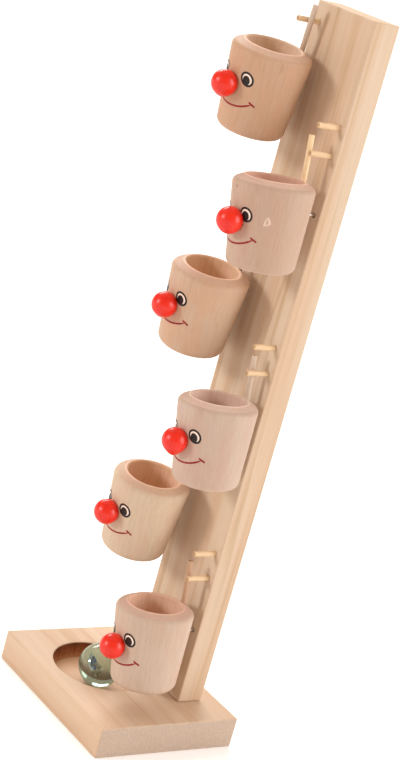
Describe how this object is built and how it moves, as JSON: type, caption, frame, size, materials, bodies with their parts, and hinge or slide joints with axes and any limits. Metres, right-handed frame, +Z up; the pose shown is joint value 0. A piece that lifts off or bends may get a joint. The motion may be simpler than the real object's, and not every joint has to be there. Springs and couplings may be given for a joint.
{
  "type": "wooden marble run",
  "caption": "Free-standing wooden marble run: clown-faced cups on an upright board tip in turn and pass a glass marble down to a recess in the base.",
  "frame": {"origin": "under the middle of the base, on the table", "axes": "+Z up along the board, -Y the way the cups face, +X towards the column of even cups"},
  "size_m": [0.11, 0.091, 0.4083],
  "materials": {
    "base_wood": "bare sanded pine",
    "board_pine": "bare sanded pine",
    "cup_wood": "bare turned hardwood, printed face",
    "stick_wood": "bare birch dowel",
    "red_lacquer": "glossy red lacquer on a wooden ball",
    "nail_steel": "bright drawn steel",
    "screw_steel": "yellow zinc plated",
    "marble_glass": "clear greenish glass with a blue vane"
  },
  "bodies": {
    "stand": {"base_plate": "base_wood", "back_board": "board_pine", "board_screw_1": "screw_steel", "board_screw_2": "screw_steel", "rest_peg_1": "stick_wood", "rest_peg_2": "stick_wood", "rest_peg_3": "stick_wood", "rest_peg_4": "stick_wood", "rest_peg_5": "stick_wood", "rest_peg_6": "stick_wood", "tip_peg_1": "stick_wood", "tip_peg_2": "stick_wood", "tip_peg_3": "stick_wood", "tip_peg_4": "stick_wood", "tip_peg_5": "stick_wood", "tip_peg_6": "stick_wood"},
    "cup_1_body": {"cup_1": "cup_wood", "nose_1": "red_lacquer", "pivot_nail_1": "nail_steel", "stop_rod_1": "stick_wood"},
    "cup_2_body": {"cup_2": "cup_wood", "nose_2": "red_lacquer", "pivot_nail_2": "nail_steel", "stop_rod_2": "stick_wood"},
    "cup_3_body": {"cup_3": "cup_wood", "nose_3": "red_lacquer", "pivot_nail_3": "nail_steel", "stop_rod_3": "stick_wood"},
    "cup_4_body": {"cup_4": "cup_wood", "nose_4": "red_lacquer", "pivot_nail_4": "nail_steel", "stop_rod_4": "stick_wood"},
    "cup_5_body": {"cup_5": "cup_wood", "nose_5": "red_lacquer", "pivot_nail_5": "nail_steel", "stop_rod_5": "stick_wood"},
    "cup_6_body": {"cup_6": "cup_wood", "nose_6": "red_lacquer", "pivot_nail_6": "nail_steel", "stop_rod_6": "stick_wood"},
    "marble_body": {"marble": "marble_glass"}
  },
  "joints": [
    {"name": "cup_1_tip", "type": "hinge", "parent": "stand", "child": "cup_1_body", "pos_m": [-0.0105, 0.0253, 0.3648], "axis": [0, 0.999, 0.0437], "range_deg": [0, 97.6]},
    {"name": "cup_2_tip", "type": "hinge", "parent": "stand", "child": "cup_2_body", "pos_m": [0.0291, 0.0253, 0.3041], "axis": [0, -0.999, -0.0437], "range_deg": [0, 97.6]},
    {"name": "cup_3_tip", "type": "hinge", "parent": "stand", "child": "cup_3_body", "pos_m": [-0.0105, 0.0253, 0.2434], "axis": [0, 0.999, 0.0437], "range_deg": [0, 97.6]},
    {"name": "cup_4_tip", "type": "hinge", "parent": "stand", "child": "cup_4_body", "pos_m": [0.0291, 0.0253, 0.1827], "axis": [0, -0.999, -0.0437], "range_deg": [0, 97.6]},
    {"name": "cup_5_tip", "type": "hinge", "parent": "stand", "child": "cup_5_body", "pos_m": [-0.0105, 0.0253, 0.122], "axis": [0, 0.999, 0.0437], "range_deg": [0, 97.6]},
    {"name": "cup_6_tip", "type": "hinge", "parent": "stand", "child": "cup_6_body", "pos_m": [0.0291, 0.0253, 0.0613], "axis": [0, -0.999, -0.0437], "range_deg": [0, 97.6]},
    {"name": "marble_lift", "type": "slide", "parent": "stand", "child": "marble_body", "axis": [0, -0.6, 0.8], "range_m": [0, 0.06]}
  ]
}
